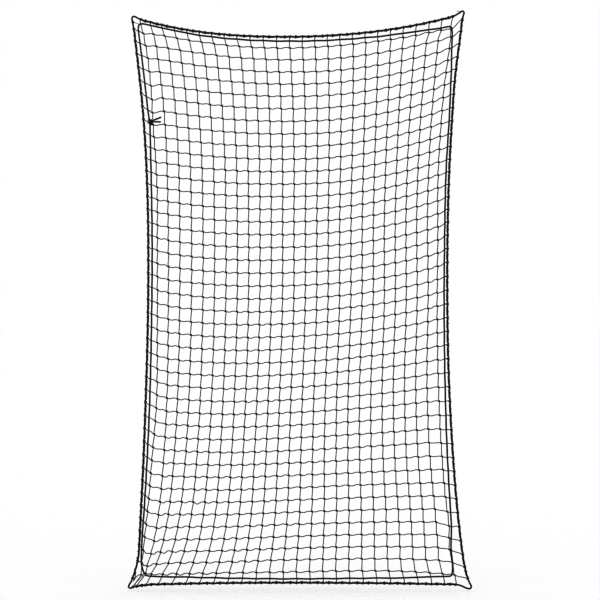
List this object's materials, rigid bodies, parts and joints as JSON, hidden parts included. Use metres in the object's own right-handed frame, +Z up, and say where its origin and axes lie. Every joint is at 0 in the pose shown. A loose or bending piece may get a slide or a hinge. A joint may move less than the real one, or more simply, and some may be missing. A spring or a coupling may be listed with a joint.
{
  "type": "pitching target net",
  "caption": "Upright knotted net panel with a lashed border rope pulled to points at its four corners and a drawcord laced just inside the border.",
  "frame": {"origin": "middle of the panel: the centre of its bounding box, half way up, half way across and half way through its thickness", "axes": "+X to the right and +Z up as the pitcher sees it from the -Y side, +Y through the panel away from the pitcher"},
  "size_m": [1.2575, 0.0403, 2.115],
  "materials": {
    "border_rope": "matt black braided polyester rope",
    "lashing_twine": "matt black twisted lashing twine",
    "net_twine": "slightly glossy black twisted polyethylene twine",
    "lacing_cord": "black braided cord with a soft sheen"
  },
  "bodies": {
    "root": {"border_rope_bottom": "border_rope", "border_rope_bottom_left_corner": "border_rope", "border_rope_bottom_right_corner": "border_rope", "border_rope_left": "border_rope", "border_rope_right": "border_rope", "border_rope_top": "border_rope", "border_rope_top_left_corner": "border_rope", "border_rope_top_right_corner": "border_rope", "bottom_lashing": "lashing_twine", "lacing_cord": "lacing_cord", "lacing_knot": "lacing_cord", "lacing_tail_lower": "lacing_cord", "lacing_tail_upper": "lacing_cord", "left_lashing": "lashing_twine", "net_twine_01": "net_twine", "net_twine_02_03": "net_twine", "net_twine_04_05": "net_twine", "net_twine_06_07": "net_twine", "net_twine_08_09": "net_twine", "net_twine_10_11": "net_twine", "net_twine_12_13": "net_twine", "net_twine_14_15": "net_twine", "net_twine_16_17": "net_twine", "net_twine_18_19": "net_twine", "net_twine_20_21": "net_twine", "net_twine_22_23": "net_twine", "net_twine_24_25": "net_twine", "net_twine_26_27": "net_twine", "net_twine_28_29": "net_twine", "net_twine_30_31": "net_twine", "net_twine_32_33": "net_twine", "net_twine_34_35": "net_twine", "net_twine_36_37": "net_twine", "net_twine_38_39": "net_twine", "net_twine_40_41": "net_twine", "net_twine_42_43": "net_twine", "net_twine_44": "net_twine", "net_twine_45_46": "net_twine", "net_twine_47_48": "net_twine", "net_twine_49_50": "net_twine", "net_twine_51_52": "net_twine", "net_twine_53_54": "net_twine", "net_twine_55_56": "net_twine", "net_twine_57_58": "net_twine", "net_twine_59_60": "net_twine", "net_twine_61_62": "net_twine", "net_twine_63_64": "net_twine", "net_twine_65_66": "net_twine", "net_twine_67_68": "net_twine", "net_twine_69": "net_twine", "right_lashing": "lashing_twine", "top_lashing": "lashing_twine"}
  },
  "joints": []
}
